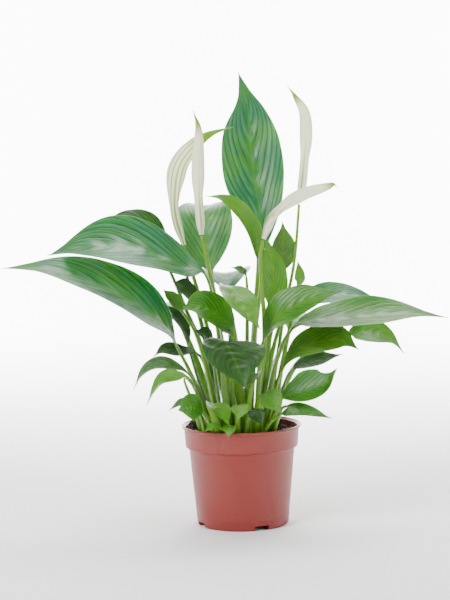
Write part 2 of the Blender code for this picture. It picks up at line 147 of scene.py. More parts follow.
LEAVES = (
    LeafPlan("leaf_tall_centre", ((6, 12), (14, 14, 180), (20, 18, 254), (23, 28, 309), (18, 38, 346),
         (15, 46, 384), (13, 52, 418), (4, 56, 454)), 2, 32, (180, 0), 24, 0.46),
    LeafPlan("leaf_young_narrow", ((2, -2), (14, 2, 180), (23, 0, 248), (19, -4, 276), (12, -7, 299),
         (0, -9, 317), (-15, -9, 328), (-31, -8, 331)), 2, 12, (230, -30), 40, 0.42, Finish.YOUNG),
    LeafPlan("leaf_upper_left", ((-10, -2), (-20, -6, 190), (-31, -8, 250), (-53, -12, 261),
         (-88, -18, 278), (-123, -22, 286), (-158, -24, 284), (-188, -24, 276)), 2, 36, (270, -36), 20,
         0.48),
    LeafPlan("leaf_upper_left_back", ((-20, 14), (-37, 22, 172), (-53, 28, 214), (-69, 33, 254),
         (-90, 38, 290), (-113, 41, 304), (-134, 41, 308)), 3, 24, (270, -40), 20, 0.38, Finish.SHADED),
    LeafPlan("leaf_lower_left", ((-33, -14), (-37, -16, 125), (-50, -20, 158), (-61, -24, 181),
         (-73, -28, 204), (-93, -32, 222), (-121, -38, 240), (-155, -44, 256), (-189, -50, 266),
         (-230, -54, 267)), 3, 36, (270, -30), 20, 0.46),
    LeafPlan("leaf_drooping_left", ((-23, 0), (-40, 2, 140), (-51, 2, 178), (-57, 5, 199),
         (-68, 7, 213), (-82, 8, 225)), 2, 11, (250, -20), 25, 0.42, Finish.SHADED),
    LeafPlan("leaf_dark_left", ((-22, -6), (-32, -6, 150), (-42, -5, 173), (-60, -5, 176),
         (-76, -6, 178), (-87, -6, 171)), 2, 9, (270, -40), 22, 0.45, Finish.SHADED),
    LeafPlan("leaf_striped_left", ((-24, -26), (-40, -28, 133), (-50, -28, 155), (-67, -30, 165),
         (-84, -32, 166), (-97, -34, 158), (-106, -36, 143)), 2, 10, (270, -32), 25, 0.45,
         Finish.SILVER_SHEEN),
    LeafPlan("leaf_bright_left", ((-26, -30), (-40, -39, 130), (-51, -42, 154), (-63, -44, 156),
         (-76, -45, 153), (-85, -46, 143), (-93, -47, 129)), 2, 11, (270, -32), 25, 0.45, Finish.YOUNG),
    LeafPlan("leaf_silver_curl", ((-37, -26), (-47, -43, 128), (-55, -52, 154), (-47, -54, 149),
         (-44, -54, 140)), 2, 4, (290, 0), 20, 0.5, Finish.SILVER_SHEEN),
    LeafPlan("leaf_small_silver_left", ((-34, -36), (-40, -46, 118), (-48, -53, 130), (-58, -56, 132),
         (-71, -58, 125)), 2, 5, (270, -40), 20, 0.45, Finish.SILVER_SHEEN),
    LeafPlan("leaf_round_left", ((-24, -42), (-29, -47, 106), (-37, -57, 121), (-48, -63, 128),
         (-62, -66, 126)), 2, 14, (270, -62), 12, 0.5, Finish.GREEN),
    LeafPlan("leaf_front_left", ((-8, -26), (-8, -34, 160), (-5, -40, 198), (-22, -44, 216),
         (-40, -47, 226), (-57, -50, 222)), 2, 20, (270, -52), 25, 0.42, Finish.GREEN),
    LeafPlan("leaf_front_arching", ((2, -16), (-4, -24, 180), (-12, -30, 240), (-4, -50, 235),
         (7, -63, 220), (20, -72, 204)), 2, 19, (20, -12), 22, 0.4, Finish.YOUNG),
    LeafPlan("leaf_small_silver_centre", ((5, -10), (8, -10, 200), (8, -12, 248), (2, -13, 257),
         (-7, -14, 260)), 2, 5, (240, -30), 18, 0.45, Finish.SILVER_SHEEN),
    LeafPlan("leaf_front_centre", ((-12, -34), (-16, -42, 150), (-16, -50, 190), (-10, -68, 184),
         (-3, -84, 170), (4, -94, 150)), 2, 33, (8, -12), 20, 0.42, Finish.SHADED),
    LeafPlan("leaf_front_centre_lower", ((6, -38), (8, -48, 130), (14, -56, 158), (12, -66, 156),
         (2, -74, 146)), 2, 9, (330, 10), 30, 0.45, Finish.YOUNG),
    LeafPlan("leaf_front_right", ((14, -26), (17, -32, 150), (21, -38, 184), (36, -43, 212),
         (55, -48, 224), (75, -54, 232), (101, -60, 239)), 2, 23, (90, 44), 22, 0.42, Finish.GREEN),
    LeafPlan("leaf_long_right", ((20, -8), (34, -12, 160), (52, -16, 198), (75, -18, 206),
         (104, -20, 208), (134, -22, 211), (169, -24, 212), (206, -26, 207)), 2, 26, (90, 28), 20, 0.46,
         Finish.GREEN),
    LeafPlan("leaf_upper_right_back", ((16, 8), (32, 14, 170), (49, 16, 213), (80, 20, 225),
         (112, 22, 227), (148, 24, 219)), 2, 17, (90, 32), 20, 0.44),
    LeafPlan("leaf_round_right", ((26, 9), (56, 11, 158), (104, 6, 187), (120, 4, 191), (135, 4, 190),
         (152, 4, 183), (165, 4, 168)), 2, 16, (90, 42), 16, 0.42, Finish.YOUNG),
    LeafPlan("leaf_olive_right", ((24, -20), (32, -22, 130), (40, -24, 156), (57, -28, 178),
         (80, -32, 187), (101, -36, 188), (117, -38, 178)), 2, 19, (90, 44), 20, 0.5, Finish.OLIVE),
    LeafPlan("leaf_dark_right", ((28, -6), (40, -6, 130), (51, -6, 155), (75, -9, 164),
         (103, -12, 171)), 2, 11, (90, 34), 20, 0.45, Finish.SHADED),
    LeafPlan("leaf_folded_right", ((26, -30), (32, -38, 116), (38, -43, 132), (60, -49, 140),
         (83, -54, 148), (94, -56, 163)), 2, 19, (90, 50), 40, 0.45, Finish.GREEN),
    LeafPlan("leaf_lower_right", ((28, -36), (36, -46, 114), (43, -54, 126), (64, -60, 121),
         (88, -66, 115)), 2, 9, (90, 30), 22, 0.42, Finish.GREEN),
    LeafPlan("leaf_small_pale_right", ((18, -42), (26, -50, 108), (38, -60, 119), (48, -66, 122),
         (61, -69, 119)), 2, 6, (90, 40), 15, 0.45, Finish.SILVER_SHEEN),
    LeafPlan("leaf_bright_right", ((13, -36), (18, -48, 124), (20, -57, 138), (29, -64, 134),
         (39, -72, 121)), 2, 12, (20, 25), 20, 0.45, Finish.YOUNG),
    LeafPlan("leaf_bright_front", ((-19, -42), (-28, -50, 118), (-32, -54, 131), (-23, -63, 126),
         (-12, -71, 111)), 2, 16, (30, -20), 20, 0.45, Finish.YOUNG),
    LeafPlan("leaf_small_front", ((-4, -42), (-4, -52, 116), (-4, -57, 128), (-2, -64, 125),
         (-3, -69, 116)), 2, 9, (0, 0), 20, 0.45, Finish.YOUNG),
    LeafPlan("leaf_dark_front", ((4, -44), (6, -51, 110), (8, -56, 122), (14, -61, 119),
         (21, -65, 109)), 2, 9, (20, 0), 20, 0.45, Finish.SHADED),
    LeafPlan("leaf_low_left", ((-14, -46), (-16, -49, 101), (-20, -55, 106), (-28, -60, 108),
         (-37, -62, 104)), 2, 5.5, (270, -30), 20, 0.45, Finish.YOUNG),
    LeafPlan("leaf_over_lip", ((-7, -46), (-8, -50, 102), (-11, -56, 108), (-12, -62, 106),
         (-13, -66, 98)), 2, 6.5, (0, 0), 20, 0.42, Finish.YOUNG),
    LeafPlan("leaf_broad_back", ((-12, 18), (-20, 26, 190), (-27, 22, 246), (-31, 24, 275),
         (-33, 31, 300), (-34, 42, 314), (-34, 66, 318), (-34, 92, 310)), 2, 29, (178, 0), 16, 0.42,
         Finish.PALE),
    LeafPlan("leaf_back_tip", ((-18, 22), (-36, 28, 190), (-52, 32, 248), (-54, 35, 268),
         (-46, 38, 288)), 2, 10, (200, -10), 20, 0.42, Finish.SHADED),
    LeafPlan("leaf_upright_right", ((14, -8), (24, -8, 160), (33, -8, 204), (36, -5, 232),
         (34, -3, 261), (28, -1, 290)), 2, 14, (180, 6), 30, 0.5, Finish.YOUNG),
    LeafPlan("leaf_back_right", ((18, 18), (30, 20, 190), (40, 24, 245), (46, 29, 273), (46, 33, 302)),
         2, 13, (190, 0), 20, 0.45, Finish.OLIVE),
    LeafPlan("leaf_light_right", ((31, 2), (40, 0, 150), (58, -7, 232), (61, -6, 248), (59, -5, 266)),
         2, 5.5, (180, 0), 20, 0.45, Finish.YOUNG),
    LeafPlan("leaf_under_left", ((-18, -12), (-38, -14, 180), (-54, -18, 214), (-66, -20, 230),
         (-75, -20, 240)), 2, 9, (250, -40), 20, 0.45, Finish.GREEN),
    LeafPlan("leaf_dark_back_left", ((-17, 3), (-33, 0, 180), (-42, 1, 218), (-54, 1, 238),
         (-66, 1, 246)), 2, 13, (250, -30), 20, 0.45, Finish.SHADED),
    LeafPlan("leaf_dark_inner_left", ((-16, -20), (-24, -24, 150), (-27, -26, 178), (-34, -28, 194),
         (-44, -30, 200)), 2, 10, (260, -40), 20, 0.45, Finish.SHADED),
    LeafPlan("leaf_dark_inner", ((-8, -10), (-9, -16, 160), (-8, -18, 190), (-16, -20, 202),
         (-26, -22, 206)), 2, 9, (260, -40), 20, 0.45, Finish.SHADED),
    LeafPlan("leaf_back_low_left", ((-22, 26), (-44, 40, 160), (-60, 56, 196), (-76, 76, 212),
         (-88, 96, 212), (-96, 116, 202)), 2, 24, (205, 0), 22, 0.45),
    LeafPlan("leaf_back_middle", ((-4, 26), (-8, 40, 180), (-10, 56, 226), (-12, 78, 244),
         (-14, 104, 244), (-14, 130, 230)), 2, 27, (180, 0), 22, 0.45),
    LeafPlan("leaf_back_low_right", ((18, 26), (34, 40, 150), (50, 58, 184), (66, 78, 198),
         (80, 98, 198), (92, 116, 188)), 2, 23, (150, 0), 22, 0.45),
)

FLOWERS = (
    FlowerPlan("flower_left", ((-10, 8), (-24, 13, 160), (-40, 13, 230), (-54, 12, 279)),
         ((-54, 12, 281), (-62, 12, 312), (-62, 12, 340), (-57, 12, 362), (-43, 12, 380),
         (-24, 12, 392), (-2, 12, 398)), 14, (0, 0), 88, 30.0, striped=True),
    FlowerPlan("flower_centre", ((-2, 4), (-17, 12, 180), (-28, 4, 250), (-36, -2, 290)),
         ((-36, -2, 292), (-38, -2, 326), (-38, -2, 362), (-37, -2, 396), (-42, -3, 416)), 8.5, (10, 0),
         75, 34.0),
    FlowerPlan("flower_arching", ((10, -16), (24, -16, 180), (22, -18, 262), (24, -18, 286)),
         ((25, -18, 288), (34, -18, 309), (48, -18, 322), (64, -18, 331), (82, -18, 337),
         (95, -18, 341), (99, -18, 337)), 8.5, (90, 60), 60, 26.0),
    FlowerPlan("flower_right", ((25, 0), (43, 4, 200), (56, 6, 262), (62, 8, 320)), ((63, 8, 322),
         (67, 8, 352), (70, 8, 384), (69, 8, 410), (61, 8, 426), (52, 8, 438)), 8, (-10, 0), 70, 34.0,
         1.4),
)


def curve_through(points: np.ndarray, places: np.ndarray) -> np.ndarray:
    """Gives points of the smooth curve through given points (a cubic between each pair, Catmull-Rom).

    Args:
        points: The given points, one per row.
        places: Positions along the curve, counted in given points.

    Returns:
        One point per place.
    """
    padded = np.vstack((2 * points[0] - points[1], points, 2 * points[-1] - points[-2]))
    start = np.clip(np.floor(places).astype(int), 0, len(points) - 2)
    f = (places - start)[:, None]
    a, b, c, d = (padded[start + k] for k in range(4))
    return 0.5 * (2 * b + (c - a) * f + (2 * a - 5 * b + 4 * c - d) * f**2 + (3 * b - a - 3 * c + d) * f**3)


def direction(azimuth: float, rise: float) -> np.ndarray:
    """Gives the unit vector of an azimuth and a rise in degrees."""
    a, r = math.radians(azimuth), math.radians(rise)
    return np.array((math.cos(a) * math.cos(r), math.sin(a) * math.cos(r), math.sin(r)))


def line_frames(line: np.ndarray, side: np.ndarray) -> tuple[np.ndarray, np.ndarray]:
    """Gives the left side and the upward normal at each point of a line.

    Args:
        line: Points along the line.
        side: The wanted left direction, which is made square to the line's own direction.

    Returns:
        Unit left sides and unit normals, one row per point.
    """
    tangents = np.gradient(line, axis=0)
    tangents /= np.linalg.norm(tangents, axis=1)[:, None]
    lefts = side - (tangents @ side)[:, None] * tangents
    lefts /= np.linalg.norm(lefts, axis=1)[:, None]
    return lefts, np.cross(tangents, lefts)


def smooth_step(x: np.ndarray, low: float, high: float) -> np.ndarray:
    """Gives 0 below low, 1 above high, and 3f^2 - 2f^3 between them."""
    f = np.clip((x - low) / (high - low), 0.0, 1.0)
    return f * f * (3 - 2 * f)


def blade_profile(t: np.ndarray, widest: float) -> np.ndarray:
    """Gives the share of a blade's greatest width: sin(pi t^p) to a power that sharpens base and tip."""
    power = math.log(0.5) / math.log(widest)
    sharpness = np.interp(t, (0.0, 0.35, 0.6, 0.87, 1.0), (1.3, 1.1, 0.8, 1.45, 1.3))
    return np.clip(np.sin(math.pi * t**power), 0.0, 1.0) ** sharpness


def soil_height(x: np.ndarray, y: np.ndarray) -> np.ndarray:
    """Gives the potting mix's height: its level, with one round mound (a bell curve)."""
    distance = np.hypot(x - PottingMix.mound_at[0], y - PottingMix.mound_at[1])
    mound = np.exp(-0.5 * (distance / PottingMix.mound_spread) ** 2)
    return PottingMix.level + PottingMix.mound_height * mound


def ring_mesh(name: str, rings: np.ndarray, maps: dict[str, np.ndarray] | None = None) -> bpy.types.Object:
    """Makes a closed tube from rings of points, each joined to the next and both ends capped.

    Args:
        name: The piece's name.
        rings: Points in millimetres, as rings by points by 3.
        maps: UV maps by name, as rings by points by 2.

    Returns:
        The piece, smooth shaded, with outward faces.
    """
    count, around, _ = rings.shape
    i, j = np.meshgrid(np.arange(count - 1), np.arange(around), indexing="ij")
    k = (j + 1) % around
    quads = np.stack((i * around + j, i * around + k, (i + 1) * around + k, (i + 1) * around + j), axis=-1)
    quads = quads.reshape(-1, 4)
    caps = [list(range(around))[::-1], list(range((count - 1) * around, count * around))]
    points = rings.reshape(-1, 3) * MM
    a, b, c = points[quads[:, 0]], points[quads[:, 1]], points[quads[:, 2]]
    if np.einsum("ij,ij->", np.cross(b - a, c - a), a - points.mean(axis=0)) < 0:
        quads = quads[:, ::-1]
        caps = [cap[::-1] for cap in caps]
    mesh = bpy.data.meshes.new(name)
    mesh.from_pydata(points.tolist(), [], quads.tolist() + caps)
    corners = np.empty(len(mesh.loops), dtype=np.int32)
    mesh.loops.foreach_get("vertex_index", corners)
    for map_name, values in (maps or {}).items():
        layer = mesh.uv_layers.new(name=map_name)
        layer.uv.foreach_set("vector", values.reshape(-1, 2)[corners].astype(np.float32).ravel())
    mesh.shade_smooth()
    mesh.validate()
    piece = bpy.data.objects.new(name, mesh)
    bpy.context.scene.collection.objects.link(piece)
    return piece


def place(piece: bpy.types.Object, material: bpy.types.Material, node: str) -> None:
    """Dresses a piece, puts it on the part's body and lets it stand for its CAD node.

    Args:
        piece: The finished piece.
        material: Its material.
        node: The CAD node it stands for.
    """
    piece.data.materials.append(material)
    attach(piece, BODY)
    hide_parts(node)
    LOG.info("%s: %d faces", piece.name, len(piece.data.polygons))


class Shades:
    """Small helpers to lay out a node tree."""

    def __init__(self, tree: bpy.types.NodeTree) -> None:
        """Keeps the tree that is laid out."""
        self.tree = tree

    def node(self, kind: str, **values: object) -> bpy.types.Node:
        """Adds a node and sets its properties."""
        made = self.tree.nodes.new(kind)
        for key, value in values.items():
            setattr(made, key, value)
        return made

    def feed(self, socket: bpy.types.NodeSocket, value: object) -> None:
        """Links a socket to another, or sets its plain value."""
        if isinstance(value, bpy.types.NodeSocket):
            self.tree.links.new(value, socket)
        else:
            socket.default_value = value

    def math(self, operation: str, *values: object) -> bpy.types.NodeSocket:
        """Adds a Math node and returns its result."""
        made = self.node("ShaderNodeMath", operation=operation)
        for socket, value in zip(made.inputs, values):
            self.feed(socket, value)
        return made.outputs[0]

    def blend(self, share: object, a: object, b: object) -> bpy.types.NodeSocket:
        """Adds a colour mix of a and b and returns its result."""
        made = self.node("ShaderNodeMix", data_type="RGBA")
        self.feed(made.inputs[0], share)
        self.feed(made.inputs[6], (*a, 1.0) if isinstance(a, tuple) else a)
        self.feed(made.inputs[7], (*b, 1.0) if isinstance(b, tuple) else b)
        return made.outputs[2]

    def ramp(self, value: object, low: float, high: float) -> bpy.types.NodeSocket:
        """Adds a smooth ramp from 0 at low to 1 at high."""
        made = self.node("ShaderNodeMapRange", interpolation_type="SMOOTHSTEP")
        self.feed(made.inputs["Value"], value)
        made.inputs["From Min"].default_value = low
        made.inputs["From Max"].default_value = high
        return made.outputs["Result"]


def vein_group() -> bpy.types.NodeTree:
    """Makes, once, the group that works out a leaf's veins from its across-and-along map.

    Its stripes follow along - across^2 * slant, so that they leave the midrib steeply and run to the tip.

    Returns:
        The group: masks of the grooves and of the painted highlight between them, midrib and margin masks,
            and a height for the bump.
    """
    made = bpy.data.node_groups.get("Leaf Veins")
    if made:
        return made
    made = bpy.data.node_groups.new("Leaf Veins", "ShaderNodeTree")
    made.interface.new_socket("Across And Along", in_out="INPUT", socket_type="NodeSocketVector")
    made.interface.new_socket("Count", in_out="INPUT", socket_type="NodeSocketFloat")
    for name in ("Grooves", "Painted Sheen", "Midrib", "Margin", "Height"):
        made.interface.new_socket(name, in_out="OUTPUT", socket_type="NodeSocketFloat")
    s = Shades(made)
    given = s.node("NodeGroupInput")
    out = s.node("NodeGroupOutput")
    split = s.node("ShaderNodeSeparateXYZ")
    s.feed(split.inputs[0], given.outputs[0])
    across = s.math("ABSOLUTE", s.math("SUBTRACT", s.math("MULTIPLY", split.outputs[0], 2.0), 1.0))
    along = split.outputs[1]
    bent = s.math("SUBTRACT", along, s.math("MULTIPLY", s.math("POWER", across, 1.35), 0.55))
    coat = s.node("ShaderNodeCombineXYZ")
    s.feed(coat.inputs[0], s.math("MULTIPLY", split.outputs[0], 2.0))
    s.feed(coat.inputs[1], s.math("MULTIPLY", bent, 7.0))
    noise = s.node("ShaderNodeTexNoise")
    noise.inputs["Scale"].default_value = 3.0
    s.feed(noise.inputs["Vector"], coat.outputs[0])
    drift = s.math("MULTIPLY", noise.outputs[0], 0.55)
    phase = s.math("ADD", s.math("MULTIPLY", bent, given.outputs[1]), drift)
    wave = s.math("SINE", s.math("MULTIPLY", phase, 2 * math.pi))
    fine = s.math("SINE", s.math("MULTIPLY", phase, 8 * math.pi))
    near_rib = s.ramp(across, 0.02, 0.25)
    # Groove mask: where the top gets painted shade, the underside paler veins, and the bump its dips.
    grooves = s.math("MULTIPLY", s.ramp(wave, 0.72, 1.0), near_rib)
    between = s.ramp(s.math("MULTIPLY", wave, -1.0), -0.2, 0.9)
    # Painted highlight mask: lighter patches between the grooves, broken up by noise; it also lifts the bump
    # a little.
    painted_sheen = s.math("MULTIPLY", between, s.ramp(noise.outputs[0], 0.40, 0.62))
    midrib = s.math("SUBTRACT", 1.0, s.ramp(across, 0.015, 0.05))
    margin = s.ramp(across, 0.93, 1.0)
    raised = s.math("ADD", s.math("MULTIPLY", fine, 0.12), s.math("MULTIPLY", painted_sheen, 0.3))
    height = s.math("SUBTRACT", raised, grooves)
    for socket, value in zip(out.inputs, (grooves, painted_sheen, midrib, margin, height)):
        s.feed(socket, value)
    return made


class LeafMaterials:
    """Makes each leaf finish's material once."""

    vein_count: float = 9.0

    def get(self, finish: Finish) -> bpy.types.Material:
        """Gives the material of a finish.

        Args:
            finish: The leaf's finish.

        Returns:
            Its material: veins on the blade, a paler underside, and a plain petiole.
        """
        made = bpy.data.materials.get(f"{finish.value}_finish")
        if made:
            return made
        look = LEAF_FINISHES[finish]
        made = bpy.data.materials.new(f"{finish.value}_finish")
        made.use_nodes = True
        s = Shades(made.node_tree)
        shader = made.node_tree.nodes["Principled BSDF"]
        place_on_leaf = s.node("ShaderNodeUVMap", uv_map="across_along")
        kind = s.node("ShaderNodeUVMap", uv_map="under_petiole")
        split = s.node("ShaderNodeSeparateXYZ")
        s.feed(split.inputs[0], kind.outputs[0])
        under, petiole = split.outputs[0], split.outputs[1]
        veins = s.node("ShaderNodeGroup", node_tree=vein_group())
        s.feed(veins.inputs[0], place_on_leaf.outputs[0])
        veins.inputs[1].default_value = self.vein_count
        space = s.node("ShaderNodeTexCoord")
        cloud = s.node("ShaderNodeTexNoise")
        cloud.inputs["Scale"].default_value = 26.0
        cloud.inputs["Detail"].default_value = 4.0
        s.feed(cloud.inputs["Vector"], space.outputs["Object"])
        mottled = s.blend(s.ramp(cloud.outputs[0], 0.35, 0.7), look.blade, look.margin)
        # Painted highlight: the sheen colour laid between the grooves.
        top = s.blend(s.math("MULTIPLY", veins.outputs["Painted Sheen"], 0.5), mottled, look.painted_sheen)
        # Painted shade: the darker groove colour laid in the vein grooves.
        top = s.blend(s.math("MULTIPLY", veins.outputs["Grooves"], 0.85), top, look.groove_shade)
        top = s.blend(s.math("MULTIPLY", veins.outputs["Midrib"], 0.45), top, look.petiole)
        top = s.blend(s.math("MULTIPLY", veins.outputs["Margin"], 0.6), top, look.margin)
        below = s.blend(s.math("MULTIPLY", veins.outputs["Grooves"], 0.5), look.under, look.margin)
        colour = s.blend(under, top, below)
        colour = s.blend(petiole, colour, look.petiole)
        s.feed(shader.inputs["Base Color"], colour)
        shader.inputs["Roughness"].default_value = look.roughness
        shader.inputs["Specular IOR Level"].default_value = 0.5
        shader.inputs["Subsurface Weight"].default_value = 0.08
        shader.inputs["Subsurface Radius"].default_value = (0.3, 0.8, 0.1)
        shader.inputs["Subsurface Scale"].default_value = 0.002
        bump = s.node("ShaderNodeBump")
        bump.inputs["Strength"].default_value = 0.35
        bump.inputs["Distance"].default_value = 0.0006
        s.feed(bump.inputs["Height"], veins.outputs["Height"])
        s.feed(shader.inputs["Normal"], bump.outputs[0])
        return made


@dataclass
class Leaves:
    """All the leaves: each is one grown piece, a petiole that widens into a blade."""

    plans: tuple[LeafPlan, ...]
    materials: LeafMaterials
    across: int = 20
    petiole_stations: int = 22
    blade_stations: int = 64
    thickness: float = 0.55
    sunk: float = 5.0
    pleat: float = 0.022
    ripple: float = 0.05
    stem_shares: tuple = (0.0, 0.3, 0.6, 1.0)
    stem_radii: tuple = (4.6, 3.6, 2.7, 1.9)

    def build(self) -> None:
        """Builds every leaf."""
        for index, plan in enumerate(self.plans):
            self.build_one(plan, index)

    def build_one(self, plan: LeafPlan, index: int) -> None:
        """Builds one leaf.

        Its section is a round stem on the petiole and a cupped, folded blade further out, eased from one to
        the other. The blade's height is its cup plus a V at the midrib, pleats along the veins and a wavy
        edge.

        Args:
            plan: The leaf's plan.
            index: The leaf's number, which varies its waves.
        """
        x, y = plan.spine[0]
        points = np.array([(x, y, float(soil_height(x, y)) - self.sunk), *plan.spine[1:]], dtype=float)
        stem = np.linspace(0.0, plan.blade, self.petiole_stations)
        blade = np.linspace(plan.blade, len(points) - 1, self.blade_stations)
        line = curve_through(points, np.concatenate((stem, blade[1:])))
        lefts, normals = line_frames(line, direction(*plan.side))
        out_blade = np.linspace(0.0, 1.0, self.blade_stations)
        t = np.concatenate((np.zeros(self.petiole_stations - 1), out_blade))[:, None]
        up_stem = np.linspace(0.0, 1.0, self.petiole_stations)
        up_stem = np.concatenate((up_stem, np.ones(self.blade_stations - 1)))
        into_blade = smooth_step(t, 0.0, 0.10)
        v = np.cos(np.linspace(0.0, math.pi, self.across + 1))[None, :]
        half_width = np.maximum(plan.width * blade_profile(t, plan.widest), 0.3)
        bend = math.radians(plan.cup)
        radius = half_width / bend
        size = 0.75 if plan.width < 12 else 1.0
        stem_radius = size * np.interp(up_stem, self.stem_shares, self.stem_radii)[:, None] * (1 - 0.85 * t)
        centre_v = 2.2 * t - np.abs(v) ** 1.6 * 0.9
        pleats = self.pleat * plan.width * np.sin(centre_v * 2 * math.pi * 3.2 + index) * (1 - np.abs(v) ** 4)
        edge = self.ripple * plan.width * np.sin(t * (9 + index % 4) + index * 1.7 + 2 * v) * np.abs(v) ** 3
        fold = 0.10 * plan.width * np.abs(v) * np.sin(math.pi * np.clip(t, 0, 1)) - 0.04 * plan.width
        shape = blade_profile(t, plan.widest)
        lift = (pleats + edge + fold) * shape
        rim = np.sqrt(np.clip(1 - v**2, 0.0, 1.0))
        rows = []
        for sign in (1.0, -1.0):
            wall = sign * self.thickness * 0.5 * rim
            near_rib = np.exp(-((v * half_width / 1.8) ** 2))
            rib = sign * np.where(sign < 0, 1.1, 0.2) * stem_radius * near_rib * 0.6
            blade_u = (radius - wall) * np.sin(bend * v)
            blade_h = radius - (radius - wall) * np.cos(bend * v) + lift + rib * into_blade
            stem_u = stem_radius * v * 1.15
            stem_h = sign * stem_radius * rim * np.where(sign > 0, 0.55, 1.0)
            u = stem_u * (1 - into_blade) + blade_u * into_blade
            h = stem_h * (1 - into_blade) + blade_h * into_blade
            rows.append(line[:, None] + u[..., None] * lefts[:, None] + h[..., None] * normals[:, None])
        rings = np.concatenate((rows[0], rows[1][:, ::-1][:, 1:-1]), axis=1)
        v_ring = np.concatenate((v[0], v[0][::-1][1:-1]))
        under = np.concatenate((np.zeros(self.across + 1), np.ones(self.across - 1)))
        down, around = np.ones_like(t), np.ones_like(v_ring)[None, :]
        across_along = np.stack((down * (0.5 + 0.5 * v_ring)[None, :], t * around), axis=-1)
        under_petiole = np.stack((down * under[None, :], (1 - into_blade) * around), axis=-1)
        piece = ring_mesh(plan.name, rings, {"across_along": across_along, "under_petiole": under_petiole})
        place(piece, self.materials.get(plan.finish), plan.name)


